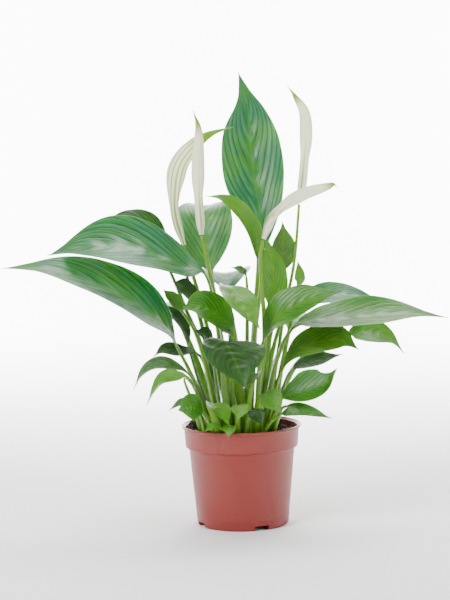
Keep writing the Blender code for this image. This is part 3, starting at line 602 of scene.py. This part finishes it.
@dataclass
class Flowers:
    """The flowers: each has a stalk, a spathe beside the stalk's top, and a spadix inside the spathe."""

    plans: tuple[FlowerPlan, ...]
    stations: int = 60
    across: int = 18
    thickness: float = 0.7
    spadix_radius: float = 3.2
    wrap_base: float = 2.2
    wrap_gain: float = 2.1
    base_cup: float = 155.0
    spadix_shares: tuple = (0.0, 0.17, 0.34, 0.67, 0.85, 0.95, 1.0)
    spadix_outline: tuple = (0.45, 0.8, 0.96, 0.88, 0.66, 0.4, 0.08)
    sunk: float = 5.0
    cream: tuple = (0.90, 0.90, 0.66)
    shade: tuple = (0.66, 0.74, 0.34)
    green: tuple = (0.120, 0.290, 0.002)
    deep_green: tuple = (0.012, 0.110, 0.003)
    stalk_colour: tuple = (0.150, 0.340, 0.004)
    spadix_colour: tuple = (0.72, 0.68, 0.36)

    def build(self) -> None:
        """Builds every flower."""
        for plan in self.plans:
            self.build_stalk(plan)
            self.build_spathe(plan)
            self.build_spadix(plan)

    def round_rings(self, line: np.ndarray, side: np.ndarray, radii: np.ndarray, around: int) -> np.ndarray:
        """Gives circles of the given radii about a line, square to it.

        Args:
            line: Points along the line.
            side: The direction that the circles start from.
            radii: One radius per point.
            around: The number of points around.

        Returns:
            The rings' points.
        """
        lefts, normals = line_frames(line, side)
        a = np.linspace(0.0, 2 * math.pi, around, endpoint=False)[None, :, None]
        outward = np.cos(a) * lefts[:, None] + np.sin(a) * normals[:, None]
        return line[:, None] + radii[:, None, None] * outward

    def build_stalk(self, plan: FlowerPlan) -> None:
        """Builds a flower's stalk, a round stem that tapers upwards."""
        x, y = plan.stalk[0]
        points = np.array([(x, y, float(soil_height(x, y)) - self.sunk), *plan.stalk[1:]], dtype=float)
        line = curve_through(points, np.linspace(0.0, len(points) - 1, self.stations))
        radii = np.linspace(plan.stalk_radius + 0.6, plan.stalk_radius, self.stations)
        piece = ring_mesh(f"{plan.name}_stalk", self.round_rings(line, direction(*plan.side), radii, 16))
        material = self.plain("flower_stalk", self.stalk_colour, 0.4)
        place(piece, material, f"{plan.name}_stalk")

    def build_spathe(self, plan: FlowerPlan) -> None:
        """Builds a flower's spathe: a blade rolled about the spadix, with lengthwise waves at its edges."""
        points = np.array(plan.spathe, dtype=float)
        line = curve_through(points, np.linspace(0.0, len(points) - 1, self.stations))
        lefts, normals = line_frames(line, direction(*plan.side))
        t = np.linspace(0.0, 1.0, self.stations)[:, None]
        wrap = self.wrap_base + self.wrap_gain * smooth_step(t, 0.0, 0.10)
        line = line - normals * (wrap + 0.4) * (1 - smooth_step(t, 0.75, 1.0))
        v = np.cos(np.linspace(0.0, math.pi, self.across + 1))[None, :]
        open_bend = math.radians(plan.cup)
        bend = open_bend + (math.radians(self.base_cup) - open_bend) * (1 - smooth_step(t, 0.08, 0.42))
        closed = wrap * bend * (1 - smooth_step(t, 0.30, 0.60))
        opened = np.maximum(plan.width * blade_profile(t, 0.45), closed)
        half_width = np.maximum(opened, 1.2 * (1 - t) + 0.25)
        radius = half_width / bend
        wave = 0.05 * plan.width * np.sin(11 * t + 3 * v) * np.abs(v) ** 2 * np.sin(math.pi * t)
        rim = np.sqrt(np.clip(1 - v**2, 0.0, 1.0))
        rows = []
        for sign in (1.0, -1.0):
            wall = sign * self.thickness * 0.5 * rim
            u = (radius - wall + wave) * np.sin(bend * v)
            h = radius - (radius - wall + wave) * np.cos(bend * v)
            rows.append(line[:, None] + u[..., None] * lefts[:, None] + h[..., None] * normals[:, None])
        rings = np.concatenate((rows[0], rows[1][:, ::-1][:, 1:-1]), axis=1)
        v_ring = np.concatenate((v[0], v[0][::-1][1:-1]))
        across_along = np.stack(
            (np.ones_like(t) * (0.5 + 0.5 * v_ring)[None, :], t * np.ones_like(v_ring)[None, :]), axis=-1)
        piece = ring_mesh(f"{plan.name}_spathe", rings, {"across_along": across_along})
        place(piece, self.spathe_material(plan.striped), f"{plan.name}_spathe")

    def build_spadix(self, plan: FlowerPlan) -> None:
        """Builds a flower's spadix, a round-ended spike on top of the stalk, studded in spiral rows."""
        points = np.array(plan.spathe, dtype=float)
        dense = curve_through(points, np.linspace(0.0, len(points) - 1, 200))
        run = np.concatenate(((0.0,), np.cumsum(np.linalg.norm(np.diff(dense, axis=0), axis=1))))
        heights = np.linspace(0.0, plan.spadix, self.stations)
        line = np.stack([np.interp(heights, run, dense[:, k]) for k in range(3)], axis=1)
        share = np.linspace(0.0, 1.0, self.stations)
        outline = np.interp(share, self.spadix_shares, self.spadix_outline)
        rings = self.round_rings(line, direction(*plan.side), self.spadix_radius * outline, 20)
        around = np.linspace(0.0, 2 * math.pi, 20, endpoint=False)[None, :]
        studs = 0.04 * np.sin(heights[:, None] * 3.0) * np.sin(5 * around + heights[:, None])
        rings = line[:, None] + (rings - line[:, None]) * (1 + studs)[..., None]
        piece = ring_mesh(f"{plan.name}_spadix", rings)
        place(piece, self.plain("spadix", self.spadix_colour, 0.6), f"{plan.name}_spadix")

    def plain(self, name: str, colour: tuple, roughness: float) -> bpy.types.Material:
        """Gives a material of one colour with faint clouds, made once."""
        made = bpy.data.materials.get(f"{name}_finish")
        if made:
            return made
        made = bpy.data.materials.new(f"{name}_finish")
        made.use_nodes = True
        s = Shades(made.node_tree)
        shader = made.node_tree.nodes["Principled BSDF"]
        space = s.node("ShaderNodeTexCoord")
        cloud = s.node("ShaderNodeTexNoise")
        cloud.inputs["Scale"].default_value = 40.0
        s.feed(cloud.inputs["Vector"], space.outputs["Object"])
        darker = tuple(0.7 * c for c in colour)
        s.feed(shader.inputs["Base Color"], s.blend(cloud.outputs[0], darker, colour))
        shader.inputs["Roughness"].default_value = roughness
        return made

    def spathe_material(self, striped: bool) -> bpy.types.Material:
        """Gives the spathe's material: cream, greener at the tip and the midline, striped on one flower."""
        name = "spathe_striped" if striped else "spathe"
        made = bpy.data.materials.get(f"{name}_finish")
        if made:
            return made
        made = bpy.data.materials.new(f"{name}_finish")
        made.use_nodes = True
        s = Shades(made.node_tree)
        shader = made.node_tree.nodes["Principled BSDF"]
        spot = s.node("ShaderNodeUVMap", uv_map="across_along")
        split = s.node("ShaderNodeSeparateXYZ")
        s.feed(split.inputs[0], spot.outputs[0])
        across = s.math("ABSOLUTE", s.math("SUBTRACT", s.math("MULTIPLY", split.outputs[0], 2.0), 1.0))
        along = split.outputs[1]
        lines = s.math("SINE", s.math("MULTIPLY", split.outputs[0], 70.0))
        colour = s.blend(s.math("MULTIPLY", s.ramp(lines, 0.2, 1.0), 0.35), self.cream, self.shade)
        low = s.math("SUBTRACT", 1.0, s.ramp(along, 0.10, 0.55))
        rib = s.math("MULTIPLY", s.math("SUBTRACT", 1.0, s.ramp(across, 0.03, 0.16)), low)
        colour = s.blend(s.math("MULTIPLY", rib, 0.8), colour, self.stalk_colour)
        if striped:
            stripes = s.ramp(s.math("SINE", s.math("MULTIPLY", split.outputs[0], 38.0)), 0.15, 0.85)
            colour = s.blend(s.math("MULTIPLY", stripes, 0.75), colour, self.green)
            colour = s.blend(s.ramp(across, 0.82, 0.95), colour, self.deep_green)
            tip = s.ramp(along, 0.60, 0.78)
        else:
            tip = s.ramp(along, 0.66, 0.84)
        colour = s.blend(tip, colour, self.green)
        s.feed(shader.inputs["Base Color"], colour)
        shader.inputs["Roughness"].default_value = 0.45
        shader.inputs["Subsurface Weight"].default_value = 0.2
        shader.inputs["Subsurface Radius"].default_value = (1.0, 0.9, 0.5)
        shader.inputs["Subsurface Scale"].default_value = 0.003
        return made


@dataclass
class Pot:
    """The grower pot: a turned thin wall with a collar, a ring line and drain slots."""

    height: float = 101.0
    lip_radius: float = 60.0
    collar_top: float = 57.8
    collar_bottom: float = 56.5
    collar_height: float = 21.0
    body_top: float = 53.1
    base_radius: float = 46.2
    corner: float = 3.0
    wall: float = 1.5
    floor: float = 2.5
    segments: int = 160
    slots: int = 4
    first_slot: float = -66.4
    slot_inner: float = 30.0
    slot_width: float = 15.0
    slot_height: float = 5.0
    colour: tuple = (0.215, 0.020, 0.013)

    def outline(self) -> np.ndarray:
        """Gives the outline as (radius, height), from the underside's middle up, over and down inside."""
        low = self.height - self.collar_height
        a = np.linspace(0.0, math.pi / 2, 7)
        corner = np.stack((self.base_radius - self.corner + self.corner * np.sin(a),
                           self.corner - self.corner * np.cos(a)), axis=1)
        b = np.linspace(0.0, math.pi, 9)
        lip = np.stack((self.lip_radius - 0.9 + 0.9 * np.cos(b),
                        self.height - 0.9 + 0.9 * np.sin(b)), axis=1)
        outside = np.array((
            (46.55, 8.6), (46.95, 9.3), (47.0, 10.2), (46.85, 11.0), (self.body_top - 0.15, low - 3.0),
            (self.body_top + 0.4, low - 2.2), (self.collar_bottom - 1.0, low - 1.2),
            (self.collar_bottom - 0.2, low - 0.6), (self.collar_bottom, low + 0.6),
            (self.collar_top - 0.1, self.height - 4.2),
            (self.collar_top + 0.5, self.height - 3.0), (self.lip_radius - 0.4, self.height - 2.4)))
        inside = np.array((
            (self.collar_top - self.wall, self.height - 2.2), (self.collar_bottom - self.wall, low + 1.0),
            (self.body_top - self.wall, low - 2.0), (self.base_radius - self.wall, self.floor + 2.0),
            (self.base_radius - self.wall - 2.0, self.floor)))
        return np.vstack(((1.0, 0.0), corner, outside, lip, inside, (1.0, self.floor)))

    def build(self) -> None:
        """Builds the pot, and cuts its drain slots through the corner of its bottom."""
        profile = self.outline()
        a = np.linspace(0.0, 2 * math.pi, self.segments, endpoint=False)[None, :]
        r, z = profile[:, :1], profile[:, 1:]
        rings = np.stack((r * np.cos(a), r * np.sin(a), z * np.ones_like(a)), axis=-1)
        blank = ring_mesh("pot_blank", rings)
        cutters = [self.cutter(k) for k in range(self.slots)]
        for cutter in cutters:
            cut = blank.modifiers.new(cutter.name, "BOOLEAN")
            cut.operation = "DIFFERENCE"
            cut.object = cutter
        graph = bpy.context.evaluated_depsgraph_get()
        mesh = bpy.data.meshes.new_from_object(blank.evaluated_get(graph))
        for spent in (blank, *cutters):
            bpy.data.objects.remove(spent, do_unlink=True)
        mesh.name = "pot"
        mesh.materials.clear()
        mesh.shade_smooth()
        mesh.set_sharp_from_angle(angle=math.radians(40))
        piece = bpy.data.objects.new("grower_pot", mesh)
        bpy.context.scene.collection.objects.link(piece)
        place(piece, self.material(), "pot")

    def cutter(self, k: int) -> bpy.types.Object:
        """Makes the block that cuts one drain slot."""
        reach = self.base_radius + 4.0 - self.slot_inner
        angle = math.radians(self.first_slot + k * 360.0 / self.slots)
        corners = np.array([(x, y, z) for x in (0, 1) for y in (-0.5, 0.5) for z in (-1, 1)], dtype=float)
        corners *= (reach, self.slot_width, self.slot_height)
        corners[:, 0] += self.slot_inner
        c, s = math.cos(angle), math.sin(angle)
        turn = np.array(((c, s, 0), (-s, c, 0), (0, 0, 1)))
        mesh = bpy.data.meshes.new(f"slot_{k}")
        faces = [(0, 1, 3, 2), (4, 6, 7, 5), (0, 4, 5, 1), (2, 3, 7, 6), (0, 2, 6, 4), (1, 5, 7, 3)]
        mesh.from_pydata((corners @ turn * MM).tolist(), [], faces)
        made = bpy.data.objects.new(f"slot_{k}", mesh)
        bpy.context.scene.collection.objects.link(made)
        return made

    def material(self) -> bpy.types.Material:
        """Gives the pot's satin plastic, with fine speckle and faint scuffs."""
        made = bpy.data.materials.new("pot_finish")
        made.use_nodes = True
        s = Shades(made.node_tree)
        shader = made.node_tree.nodes["Principled BSDF"]
        space = s.node("ShaderNodeTexCoord")
        speckle = s.node("ShaderNodeTexNoise")
        speckle.inputs["Scale"].default_value = 900.0
        s.feed(speckle.inputs["Vector"], space.outputs["Object"])
        cloud = s.node("ShaderNodeTexNoise")
        cloud.inputs["Scale"].default_value = 30.0
        cloud.inputs["Detail"].default_value = 6.0
        s.feed(cloud.inputs["Vector"], space.outputs["Object"])
        lighter = tuple(1.25 * c for c in self.colour)
        speckled = s.blend(s.ramp(speckle.outputs[0], 0.45, 0.75), self.colour, lighter)
        s.feed(shader.inputs["Base Color"], speckled)
        rough = s.node("ShaderNodeMapRange")
        s.feed(rough.inputs["Value"], cloud.outputs[0])
        rough.inputs["To Min"].default_value = 0.34
        rough.inputs["To Max"].default_value = 0.52
        s.feed(shader.inputs["Roughness"], rough.outputs[0])
        bump = s.node("ShaderNodeBump")
        bump.inputs["Strength"].default_value = 0.15
        bump.inputs["Distance"].default_value = 0.0002
        s.feed(bump.inputs["Height"], speckle.outputs[0])
        s.feed(shader.inputs["Normal"], bump.outputs[0])
        return made


@dataclass
class PottingMix:
    """The potting mix: a plug that fills the pot, with a mound and a crumbly top."""

    level: float = 94.0
    mound_at: tuple = (-44.0, 6.0)
    mound_height: float = 11.0
    mound_spread: float = 8.0
    radius: float = 54.6
    rings: int = 70
    around: int = 220
    crumb: float = 1.1
    crumbs: int = 420
    colour: tuple = (0.022, 0.011, 0.007)
    fleck: tuple = (0.110, 0.050, 0.025)

    def build(self) -> None:
        """Builds the plug: rings up its side, then across its top, whose height is the mound plus crumbs."""
        rng = np.random.default_rng(7)
        a = np.linspace(0.0, 2 * math.pi, self.around, endpoint=False)[None, :]
        sides = ((42.0, 7.6), (51.0, 78.0), (self.radius - 0.4, 82.0), (self.radius, self.level - 1.5))
        side = np.array([[(r * c, r * s, z) for c, s in zip(np.cos(a[0]), np.sin(a[0]))] for r, z in sides])
        r = np.linspace(self.radius, 0.4, self.rings)[:, None]
        x, y = r * np.cos(a), r * np.sin(a)
        rough = rng.normal(0.0, 1.0, x.shape)
        smooth = sum(np.roll(np.roll(rough, i, 0), j, 1) for i in (-1, 0, 1) for j in (-1, 0, 1)) / 3.0
        z = soil_height(x, y) + self.crumb * (0.55 * smooth - 0.3) * smooth_step(self.radius - r, -0.5, 3.0)
        top = np.stack((x, y, z * np.ones_like(x)), axis=-1)
        piece = ring_mesh("potting_mix_plug", np.concatenate((side, top)))
        material = self.material()
        place(piece, material, "potting_mix")
        self.scatter(rng, material)

    def scatter(self, rng: np.random.Generator, material: bpy.types.Material) -> None:
        """Scatters loose crumbs, each a small lump of eight faces, half sunk in the top.

        Args:
            rng: The source of the crumbs' places and sizes.
            material: The mix's material.
        """
        distance = (self.radius - 3.0) * np.sqrt(rng.random(self.crumbs))
        angle = rng.random(self.crumbs) * 2 * math.pi
        near_mound = rng.random(self.crumbs) < 0.2
        mound_x = self.mound_at[0] + rng.normal(0, 4.0, self.crumbs)
        mound_y = self.mound_at[1] + rng.normal(0, 6.0, self.crumbs)
        x = np.where(near_mound, mound_x, distance * np.cos(angle))
        y = np.where(near_mound, mound_y, distance * np.sin(angle))
        far = np.maximum(np.hypot(x, y) / (self.radius - 2.5), 1.0)
        x, y = x / far, y / far
        size = rng.uniform(0.5, 1.7, self.crumbs)
        middle = np.stack((x, y, soil_height(x, y) + 0.3 * size), axis=-1)
        axes = np.array(((1, 0, 0), (0, 1, 0), (-1, 0, 0), (0, -1, 0), (0, 0, 1), (0, 0, -1)), dtype=float)
        spread = rng.uniform(0.6, 1.4, (self.crumbs, 6, 1)) * size[:, None, None]
        points = middle[:, None] + axes[None] * spread + rng.normal(0, 0.12, (self.crumbs, 6, 3))
        lump = np.array(((0, 1, 4), (1, 2, 4), (2, 3, 4), (3, 0, 4),
                         (1, 0, 5), (2, 1, 5), (3, 2, 5), (0, 3, 5)))
        faces = (lump[None] + 6 * np.arange(self.crumbs)[:, None, None]).reshape(-1, 3)
        mesh = bpy.data.meshes.new("potting_mix_crumbs")
        mesh.from_pydata((points.reshape(-1, 3) * MM).tolist(), [], faces.tolist())
        piece = bpy.data.objects.new("potting_mix_crumbs", mesh)
        bpy.context.scene.collection.objects.link(piece)
        mesh.materials.append(material)
        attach(piece, BODY)
        LOG.info("%s: %d crumbs", piece.name, self.crumbs)

    def material(self) -> bpy.types.Material:
        """Gives damp dark peat with browner flecks."""
        made = bpy.data.materials.new("peat_finish")
        made.use_nodes = True
        s = Shades(made.node_tree)
        shader = made.node_tree.nodes["Principled BSDF"]
        space = s.node("ShaderNodeTexCoord")
        grain = s.node("ShaderNodeTexNoise")
        grain.inputs["Scale"].default_value = 420.0
        grain.inputs["Detail"].default_value = 5.0
        s.feed(grain.inputs["Vector"], space.outputs["Object"])
        flecked = s.blend(s.ramp(grain.outputs[0], 0.56, 0.72), self.colour, self.fleck)
        s.feed(shader.inputs["Base Color"], flecked)
        shader.inputs["Roughness"].default_value = 0.9
        bump = s.node("ShaderNodeBump")
        bump.inputs["Strength"].default_value = 0.8
        bump.inputs["Distance"].default_value = 0.0008
        s.feed(bump.inputs["Height"], grain.outputs[0])
        s.feed(shader.inputs["Normal"], bump.outputs[0])
        return made


@dataclass
class Studio:
    """The pale floor and sweep, the soft lights and the camera."""

    floor_size: float = 12.0
    wall_at: float = 3.4
    bend: float = 1.2
    surround: float = 0.5
    floor_colour: tuple = (0.94, 0.94, 0.94)
    camera_at: tuple = (-0.0139, -2.0, 0.4265)
    pitch: float = 5.72
    roll: float = -1.16
    lens: float = 120.7

    def build(self) -> None:
        """Builds the floor, the lights and the camera."""
        self.build_floor()
        self.build_lights()
        self.build_camera()

    def build_floor(self) -> None:
        """Builds a pale floor that sweeps up into a wall: flat, then a quarter circle, then upright."""
        turn = np.linspace(0.0, math.pi / 2, 24)
        bend = np.stack((self.wall_at - self.bend + self.bend * np.sin(turn),
                         self.bend - self.bend * np.cos(turn)), axis=1)
        profile = np.vstack(((-self.floor_size / 2, 0.0), bend, (self.wall_at, self.floor_size / 2)))
        x = np.array((-self.floor_size / 2, self.floor_size / 2))
        points = np.array([(px, y, z) for y, z in profile for px in x])
        faces = [(2 * i, 2 * i + 1, 2 * i + 3, 2 * i + 2) for i in range(len(profile) - 1)]
        mesh = bpy.data.meshes.new("floor")
        mesh.from_pydata(points.tolist(), [], faces)
        mesh.shade_smooth()
        floor = bpy.data.objects.new("floor", mesh)
        bpy.context.scene.collection.objects.link(floor)
        pale = bpy.data.materials.new("pale_floor")
        pale.use_nodes = True
        shader = pale.node_tree.nodes["Principled BSDF"]
        shader.inputs["Base Color"].default_value = (*self.floor_colour, 1.0)
        shader.inputs["Roughness"].default_value = 0.9
        shader.inputs["Specular IOR Level"].default_value = 0.1
        mesh.materials.append(pale)

    def build_lights(self) -> None:
        """Builds a soft surround, a key at the front left, a fill, a top light and two wall lights."""
        world = bpy.data.worlds.new("surround")
        world.use_nodes = True
        world.node_tree.nodes["Background"].inputs[0].default_value = (1.0, 1.0, 1.0, 1.0)
        world.node_tree.nodes["Background"].inputs[1].default_value = self.surround
        bpy.context.scene.world = world
        middle = (0.0, 0.0, 0.2)
        for name, spot, aim, size, power in (
            ("key", (-1.3, -1.5, 1.7), middle, 0.9, 62.0),
            ("fill", (1.6, -1.2, 0.9), middle, 1.2, 12.0),
            ("top", (0.2, 0.6, 1.9), middle, 0.9, 34.0),
            ("wall_left", (-1.6, 1.6, 1.2), (-0.4, 3.4, 0.5), 1.6, 420.0),
            ("wall_right", (1.6, 1.6, 1.2), (0.4, 3.4, 0.5), 1.6, 420.0),
        ):
            data = bpy.data.lights.new(name, "AREA")
            data.size = size
            data.energy = power
            light = bpy.data.objects.new(name, data)
            light.location = spot
            light.rotation_euler = (Vector(aim) - Vector(spot)).to_track_quat("-Z", "Y").to_euler()
            bpy.context.scene.collection.objects.link(light)

    def build_camera(self) -> None:
        """Builds the camera: pitched down a little and rolled slightly."""
        pitch, roll = math.radians(self.pitch), math.radians(self.roll)
        right, up = Vector((1, 0, 0)), Vector((0, math.sin(pitch), math.cos(pitch)))
        x_axis = math.cos(roll) * right + math.sin(roll) * up
        y_axis = -math.sin(roll) * right + math.cos(roll) * up
        turn = Matrix((x_axis, y_axis, x_axis.cross(y_axis))).transposed().to_4x4()
        data = bpy.data.cameras.new("camera")
        data.lens = self.lens
        data.sensor_width = 36.0
        camera = bpy.data.objects.new("camera", data)
        camera.matrix_world = Matrix.Translation(Vector(self.camera_at)) @ turn
        bpy.context.scene.collection.objects.link(camera)
        bpy.context.scene.camera = camera


def main() -> None:
    """Builds the plant, its pot and the studio."""
    logging.basicConfig(level=logging.INFO)
    Pot().build()
    PottingMix().build()
    Leaves(LEAVES, LeafMaterials()).build()
    Flowers(FLOWERS).build()
    Studio().build()


if __name__ == "__main__":
    main()
